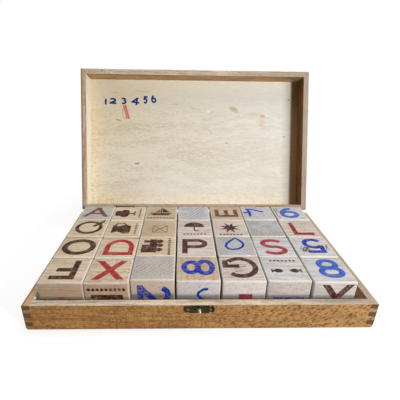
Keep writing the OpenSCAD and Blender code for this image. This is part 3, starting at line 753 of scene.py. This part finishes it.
# Small pictures and pen marks, in millimetres on the face: discs, cut shapes and strokes.
PICTURES = {
    "tree": [("disc", 0, 7, 5.2), ("disc", -5, 3, 4.4), ("disc", 5, 3, 4.4), ("disc", -2.5, 9.5, 3.8),
             ("disc", 3, 10, 3.6), ("disc", 0, 2, 4.6), ("stroke", 2.4, ((0, -7.5), (0, 2))),
             ("stroke", 1.4, ((-5, -7.5), (5, -7.5)))],
    "boat": [("shape", ((-12, -1.5), (12, -1.5), (8, -7), (-8.5, -7))), ("stroke", 1.3, ((0, -1.5), (0, 12))),
             ("shape", ((1.2, 0), (1.2, 11.5), (9.5, 0))), ("shape", ((-1.2, 0), (-1.2, 8.5), (-7, 0)))],
    "jug": [("shape", ((-8, -8), (5, -8), (8, -3), (5.5, 4), (6.5, 10), (-9.5, 10), (-6, 4.5), (-10.5, -3))),
            ("stroke", 1.8, ((5.5, 8), (11, 6.5), (11.5, 0), (7, -3.5)))],
    "pane": [("stroke", 1.1, ((-7, -7), (7, -7), (7, 7), (-7, 7), (-7, -7))),
             ("stroke", 1.0, ((-7, -7), (7, 7))), ("stroke", 1.0, ((-7, 7), (7, -7)))],
    "umbrella": [("shape", tuple((10.2 * math.cos(a / 12 * math.pi), 1 + 10 * math.sin(a / 12 * math.pi))
                                 for a in range(13))),
                 ("stroke", 1.5, ((0, 2), (0, -6), (1.2, -7.6), (3, -7.6), (4, -6)))],
    "star": [("shape", tuple(((11.3 if n % 2 else 4.6) * math.sin(n * math.pi / 8),
                              (11.3 if n % 2 else 4.6) * math.cos(n * math.pi / 8)) for n in range(16)))],
    "train": [("shape", ((-11.5, -3), (11, -3), (11, 3.5), (1.5, 3.5), (1.5, 10.5), (-11.5, 10.5))),
              ("shape", ((5.5, 3.5), (9, 3.5), (9.8, 9), (4.8, 9))), ("disc", -7, -5.4, 3.1),
              ("disc", 0.5, -5.4, 3.1), ("disc", 7.5, -5.4, 3.1)],
    "twin_fish": [("shape", tuple((middle + flip * x, 3.2 + y) for x, y in (
        (-5, 0), (-2.5, 2.3), (0.5, 2.7), (3, 1), (5.2, 2.8), (5.2, -2.8), (3, -1), (0.5, -2.7),
        (-2.5, -2.3)))) for middle, flip in ((6.4, 1), (-8, -1))],
    "fish": [("shape", ((-12, 0), (-7, 5), (0, 6.5), (6, 2.2), (11.5, 6), (11.5, -6), (6, -2.2), (0, -6.5),
                        (-7, -5)))],
    "crown": [("shape", ((-12, -6.4), (12, -6.4), (12.6, 7), (6.5, 0), (0, 9), (-6.5, 0), (-12.6, 7)))],
    "apple": [("disc", -3.4, -0.5, 6.4), ("disc", 3.4, -0.5, 6.4), ("stroke", 1.6, ((0, 4), (1.2, 10))),
              ("shape", ((1, 7), (5, 10.5), (8, 8.5), (4, 6.5)))],
    "dots": [("disc", 3.3 * n, -11.6, 1.15) for n in range(-3, 4)],
    "wide dots": [("disc", 3.3 * n, -11.2, 1.3) for n in range(-4, 5)],
    "pen loop": [("stroke", 2.4, ((1.6, 14), (-3, 9.5), (-7.4, 4), (-8.9, -1), (-7, -5), (-3.4, -6.4),
                                  (1.5, -5.6), (5.6, -2.4), (7.6, 1.6), (7, 5.6), (4.6, 10.2), (1.6, 14)))],
    "pen four": [("stroke", 2.8, ((-10.4, 10.8), (-9.4, 2), (-9.6, -8.8))),
                 ("stroke", 2.6, ((-16, -0.2), (-6.6, 2.6))),
                 ("stroke", 2.8, ((-12.3, 8.6), (-5.2, 9.2), (0, 5.2), (6.8, 2.4)))],
    "pen curl": [("stroke", 2.3, ((9.3, 9.6), (5.5, 9), (2, 6.5), (1.4, 3.4), (3.6, 1), (7, -1.5), (7.6, -5),
                                  (4.5, -7.6), (0, -7)))],
    "pencil": [("stroke", 0.7, tuple((8 + (2 + 0.13 * n) * math.cos(1.1 * n),
                                      4.5 + (3 + 0.1 * n) * math.sin(1.3 * n)) for n in range(22))),
               ("stroke", 0.7, ((-11, 6), (-12.2, -1), (-15.5, -5), (-12.4, 1), (-13.5, 5.6)))],
    "smears": [("stroke", 0.6, ((4, 3), (-1, 1.6), (-5.5, -0.8))),
               ("stroke", 0.5, ((2, -2.6), (-2.4, -3), (-6, -5))),
               ("stroke", 0.4, ((5, 5.5), (1, 5), (-3, 6)))],
    "scratch": [("stroke", 0.9, ((-15.2, 13), (-14.6, 4), (-15, -6), (-13.6, -12))),
                ("stroke", 0.5, ((-12.6, 13.5), (-12.9, 6), (-11.8, 0)))],
}
INKS = {"brown": (56, 15, 14), "plum": (62, 26, 34), "faded": (92, 60, 60), "red": (156, 34, 38),
        "rose": (146, 48, 68), "brick": (130, 22, 28), "crimson": (136, 28, 54), "umber": (124, 90, 56),
        "blue": (2, 46, 152), "sky": (42, 88, 176), "pen": (10, 58, 148), "pencil": (84, 80, 80)}
# The prints that show, by block: face, what, ink, turn in degrees, size or shift in millimetres,
# and for letters and digits also the width of the strokes and the shift on the face.
PRINTS = {
    "f": [("top", "F", "brown", 180, (19.4, 25.6), 4.9, (-0.6, 0.7)),
          ("front", "1", "red", 0, (7, 17), 4.4, (-0.6, -4.6))],
    "x": [("top", "X", "red", 0, (20.5, 25.4), 4.8, (0.2, 0.5)), ("front", "crown", "brown", 180, (0, 0)),
          ("front", "wide dots", "brown", 180, (0, 0))],
    "plain_front": [("front", "2", "blue", -90, (19, 26.4), 4.8, (1.2, 2.8))],
    "eight_turned": [("top", "8", "blue", 90, (22, 27.4), 4.7, (0.4, 1.3)),
                     ("front", "pen curl", "pen", 0, (-1.8, 0))],
    "g": [("top", "G", "plum", 180, (28.8, 29), 4.7, (-0.6, 1.8)), ("top", "smears", "faded", 0, (0, 0)),
          ("front", "T", "crimson", 0, (10.6, 17), 4.6, (1.4, -3.8))],
    "twin_fish": [("top", "twin_fish", "plum", 180, (0, 0)), ("top", "dots", "plum", 180, (0.8, -0.6)),
                  ("front", "1", "blue", 90, (9, 25), 4.6, (0.4, -0.7))],
    "eight": [("top", "8", "sky", 0, (20.8, 26.6), 4.8, (1.8, 1.7)),
              ("front", "Y", "plum", 0, (20.5, 26), 4.8, (2.0, 1.4))],
    "o": [("top", "O", "brown", 0, (29.4, 26.8), 5.0, (0.1, 0.4))],
    "d": [("top", "D", "red", 90, (26.6, 25.8), 4.5, (1.6, 0.8))],
    "train": [("top", "train", "brown", 90, (-3, 0)), ("top", "wide dots", "faded", 90, (0, -1))],
    "p": [("top", "P", "plum", 0, (23, 25), 4.8, (-1.0, 0.4))],
    "ink_loop": [("top", "pen loop", "pen", 0, (0, 0))],
    "s": [("top", "S", "rose", 0, (23.2, 27.2), 4.6, (-0.5, -0.4))],
    "five": [("top", "5", "blue", 180, (19.7, 25.4), 4.4, (1.6, 1.8)),
             ("top", "pencil", "pencil", 180, (0, 0))],
    "q": [("top", "Q", "brown", 90, (26.6, 26.4), 3.6, (-0.2, 1.0))],
    "jug": [("top", "jug", "brown", 90, (-1.5, -0.6)), ("top", "dots", "faded", 90, (0, -0.6))],
    "pane": [("top", "pane", "umber", 0, (0.8, -1.0))],
    "umbrella": [("top", "umbrella", "plum", 0, (-0.6, 1.5)), ("top", "dots", "plum", 0, (-0.6, -0.6))],
    "star": [("top", "star", "plum", 0, (-0.6, 0.8)), ("top", "dots", "plum", 0, (-1, -1.8))],
    "l": [("top", "L", "brick", 0, (20, 25.4), 4.4, (0.9, -0.1))],
    "a": [("top", "A", "faded", 0, (24.6, 23), 4.2, (-0.4, 1.4))],
    "tree": [("top", "tree", "brown", 90, (-1.6, -0.4)), ("top", "dots", "faded", 90, (0, 0.6))],
    "boat": [("top", "boat", "brown", 0, (0, 1.4)), ("top", "wide dots", "faded", 0, (0, -0.8))],
    "e": [("top", "E", "faded", 90, (18.4, 25), 4.4, (0, 0))],
    "ink_four": [("top", "pen four", "pen", 0, (0, 0))],
    "six": [("top", "6", "sky", 0, (20.8, 25.6), 5.0, (-1, 0.6)), ("top", "scratch", "umber", 0, (0, 0))],
}
FACES = {"top": ((1, 0, 0), (0, 1, 0)), "bottom": ((1, 0, 0), (0, -1, 0)), "front": ((1, 0, 0), (0, 0, 1)),
         "back": ((-1, 0, 0), (0, 0, 1)), "left": ((0, -1, 0), (0, 0, 1)), "right": ((0, 1, 0), (0, 0, 1))}
LONG_FACES = {"x": ("top", "bottom", "front", "back"), "y": ("top", "bottom", "left", "right"),
              "z": ("front", "back", "left", "right")}
# How far a square end runs past its point, in widths of the stroke, and further on a slant that is
# then cut off. SLANT is the least that makes one, across and up.
REACH, LONG_REACH = 0.5, 1.4
SLANT = 0.01


def ribbon(bm, points, width, square, level=None):
    """Draws a stroke as a flat band, by drawing out the nib's edge from point to point. A slanting
    stroke that ends level with the top or the foot of a letter is cut off there."""
    steps = [(b - a).normalized() for a, b in zip(points, points[1:])]
    joined = (points[0] - points[-1]).length < width / 50
    ways = [steps[0], *((a + b).normalized() for a, b in zip(steps, steps[1:])), steps[-1]]
    if joined:
        ways[0] = ways[-1] = (steps[0] + steps[-1]).normalized()
    points = list(points)
    for end, way in ((0, -ways[0]), (-1, ways[-1])) if square else ():
        slanting = min(abs(way.x), abs(way.y)) >= SLANT
        cut_off = slanting and level is not None and abs(points[end].y) >= level * 0.6
        points[end] = points[end] + way * width * (LONG_REACH if cut_off else REACH)
    nib = None
    for point, way in zip(points, ways):
        side = Vector((-way.y, way.x)) * width / 2
        if nib is None:
            corners = [bm.verts.new((*(point + side), 0)), bm.verts.new((*(point - side), 0))]
            nib, first = bm.edges.new(corners), corners
            continue
        drawn = bmesh.ops.extrude_edge_only(bm, edges=[nib])["geom"]
        fresh = [item for item in drawn if isinstance(item, bmesh.types.BMVert)]
        corners = [next(v for v in fresh if bm.edges.get((v, old))) for old in corners]
        corners[0].co, corners[1].co = (*(point + side), 0), (*(point - side), 0)
        nib = bm.edges.get(corners)
    if joined:
        bmesh.ops.remove_doubles(bm, verts=[*first, *corners], dist=width / 20)
    for side in (1, -1) if level else ():
        bmesh.ops.bisect_plane(bm, geom=[*bm.verts, *bm.edges, *bm.faces], dist=0.00001, clear_outer=True,
                               plane_co=(0, side * level, 0), plane_no=(0, side, 0))


def flat_parts(what, size, weight):
    """The parts of a print, each a flat bmesh in millimetres on its face."""
    if what in GLYPHS:
        reach = Vector((size[0] - weight, size[1] - weight)) / 2
        for points, square in GLYPHS[what]:
            bm = bmesh.new()
            ribbon(bm, [point * reach for point in points], weight, square, size[1] / 2)
            yield bm
    else:
        for kind, *data in PICTURES[what]:
            bm = bmesh.new()
            if kind == "disc":
                bmesh.ops.create_circle(bm, cap_ends=True, segments=24, radius=data[2],
                                        matrix=Matrix.Translation((data[0], data[1], 0)))
            elif kind == "shape":
                bm.faces.new([bm.verts.new((*point, 0)) for point in data[0]])
            else:
                ribbon(bm, [Vector(point) for point in data[1]], data[0], False)
            yield bm


def ink_film(vector, cover):
    """Stamped ink on wood: where it took, from 0 to 1, thinner along the grain and in small spots."""
    spots = cloud(vector, 1.15, 3, 0.7)
    streaks = cloud(vector * (0.5, 3.2, 2.2))
    wear = cloud(vector, 0.16) - 0.5
    bare = spots * 0.55 + streaks * 0.45 + wear * 0.35
    return {"Took": 1 - step(bare - cover, -0.06, 0.1), "Height": spots}


film = effect("ink film", ink_film, Vector="Vector", Cover="Float")
UNDER_INK = (196, 174, 146)
STAMPED, DRAWN, CHALKED = 0.56, 0.85, 0.52


def ink(name, tint, cover):
    """Ink in one colour over bare wood, and how well it covers."""
    material = surface(f"{name} ink")
    film_here = used(film, Vector=local(material, tray_place), Cover=cover)
    took = film_here["Took"]
    dressed(material, film_here["Height"], 0.03, Base_Color=mixed(took * 0.5 + 0.49, UNDER_INK, tint),
            Roughness=0.68 - took * 0.12, Specular_IOR_Level=0.08)
    return material


inks = {name: ink(name, tint, DRAWN if name in ("pen", "pencil") else STAMPED) for name, tint in INKS.items()}
# In millimetres: how far a film reaches into the wood and out of it, and what parts its levels.
INK_DEPTH, INK_RISE, INK_LAYER = 0.03, 0.04, 0.004


def pressed(bm, part, place, level, number):
    """Gives a flat part its thin body, and lays it on a face at a level, in one of a print's inks."""
    grown = bmesh.ops.extrude_face_region(part, geom=part.faces[:])["geom"]
    lifted = [item for item in grown if isinstance(item, bmesh.types.BMVert)]
    bmesh.ops.translate(part, verts=lifted, vec=(0, 0, INK_DEPTH + INK_RISE + INK_LAYER * level))
    bmesh.ops.translate(part, verts=part.verts, vec=(0, 0, -INK_DEPTH))
    bmesh.ops.transform(part, matrix=place, verts=part.verts)
    for face in part.faces:
        face.material_index = number
    carrier = bpy.data.meshes.new("part")
    part.to_mesh(carrier)
    bm.from_mesh(carrier)
    part.free()
    bpy.data.meshes.remove(carrier)


# What is stamped on the hidden faces is drawn by lot. The films of a block's prints lie at levels of
# their own, so that no two of them meet.
draws = random.Random(28)
LETTERS = "ABCDEFGHKLMNOPRSTUVXYZ"
PICTURE_NAMES = ("tree", "boat", "jug", "umbrella", "star", "train", "fish", "crown", "apple")
LETTER_SIZE, DIGIT_SIZE, STROKE = (22.5, 25), (20, 25), 4.4
PICTURE_SHIFT, DOTS_SHIFT = (0, 1), (0, -0.6)
LEVEL_STEP, LEVELS = 3, 5
for name, (axis, *_) in BLOCKS.items():
    place, half = seat("block_" + name)
    prints = list(PRINTS.get(name, ()))
    taken = {entry[0] for entry in prints}
    kinds = ["letter", "digit", "picture", "picture"]
    draws.shuffle(kinds)
    for side, kind in zip(LONG_FACES[axis], kinds):
        turn = draws.choice((0, 90, 180, 270))
        letter, digit = draws.choice(LETTERS), draws.choice("0123456789")
        picture, colour = draws.choice(PICTURE_NAMES), draws.choice(("brown", "red"))
        if side in taken:
            continue
        if kind == "letter":
            prints.append((side, letter, colour, turn, LETTER_SIZE, STROKE, (0, 0)))
        elif kind == "digit":
            prints.append((side, digit, "blue", turn, DIGIT_SIZE, STROKE, (0, 0)))
        else:
            prints.append((side, picture, "brown", turn, PICTURE_SHIFT))
            prints.append((side, "dots", "brown", turn, DOTS_SHIFT))
    colours = sorted({entry[2] for entry in prints})
    bm = bmesh.new()
    for number, entry in enumerate(prints):
        side, what, colour, turn, size = entry[:5]
        weight, shift = entry[5:] if len(entry) > 5 else (0, size)
        across, upward = (Vector(way) for way in FACES[side])
        outward = across.cross(upward)
        on_face = Matrix.Translation(outward * abs(outward.dot(half)))
        face = Matrix((across, upward, outward)).transposed().to_4x4()
        sheet = (place @ on_face @ face @ Matrix.Scale(MM, 4) @ Matrix.Translation((*shift, 0))
                 @ Matrix.Rotation(math.radians(turn), 4, "Z"))
        for layer, part in enumerate(flat_parts(what, size, weight)):
            pressed(bm, part, sheet, layer + LEVEL_STEP * number % LEVELS, colours.index(colour))
    collected("print_" + name, bm, "block_" + name, [inks[colour] for colour in colours])


# A child's marks on the lid's panel: the digits from 1 to 6 in felt pen, and a stroke of red crayon
# with a thin loop beside it. They lie as thin films on the plywood.
panel = lid_place @ Matrix.Translation((0, 0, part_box("tray_floor")[1].z)) @ Matrix.Scale(MM, 4)
# Each digit, where its middle is from the panel's, its width and height, and its lean in degrees.
PEN_DIGITS = (("1", -110.3, 49.6, 3.0, 7.0, -4), ("2", -101.6, 50.6, 8.6, 7.4, -2),
              ("3", -88.2, 50.8, 6.8, 8.2, 2), ("4", -73.8, 50.4, 9.6, 9.4, -8),
              ("5", -61.5, 52.3, 5.6, 9.4, -4), ("6", -51.6, 53.4, 6.4, 9.8, 14))
PEN_WIDTH = 2.1
CRAYON = ((2.2, ((-86.6, 46), (-83.9, 36.5), (-82, 28.9))),
          (1.4, ((-88.6, 45.4), (-86.2, 36), (-84.6, 29.2))),
          (0.5, ((-88, 44), (-90, 37), (-89.2, 31.5), (-86.4, 28.8), (-84.4, 29.6))))
crayon = ink("crayon", (212, 104, 78), CHALKED)
pen = ink("felt pen", (24, 52, 126), DRAWN)
bm = bmesh.new()
for digit, u, v, width, height, lean in PEN_DIGITS:
    sheet = panel @ Matrix.Translation((u, v, 0)) @ Matrix.Rotation(math.radians(lean), 4, "Z")
    for layer, part in enumerate(flat_parts(digit, (width, height), PEN_WIDTH)):
        pressed(bm, part, sheet, layer, 0)
for layer, (width, points) in enumerate(CRAYON):
    part = bmesh.new()
    ribbon(part, [Vector(point) for point in points], width, False)
    pressed(bm, part, panel, layer, 1)
collected("lid_marks", bm, "lid", (pen, crayon))
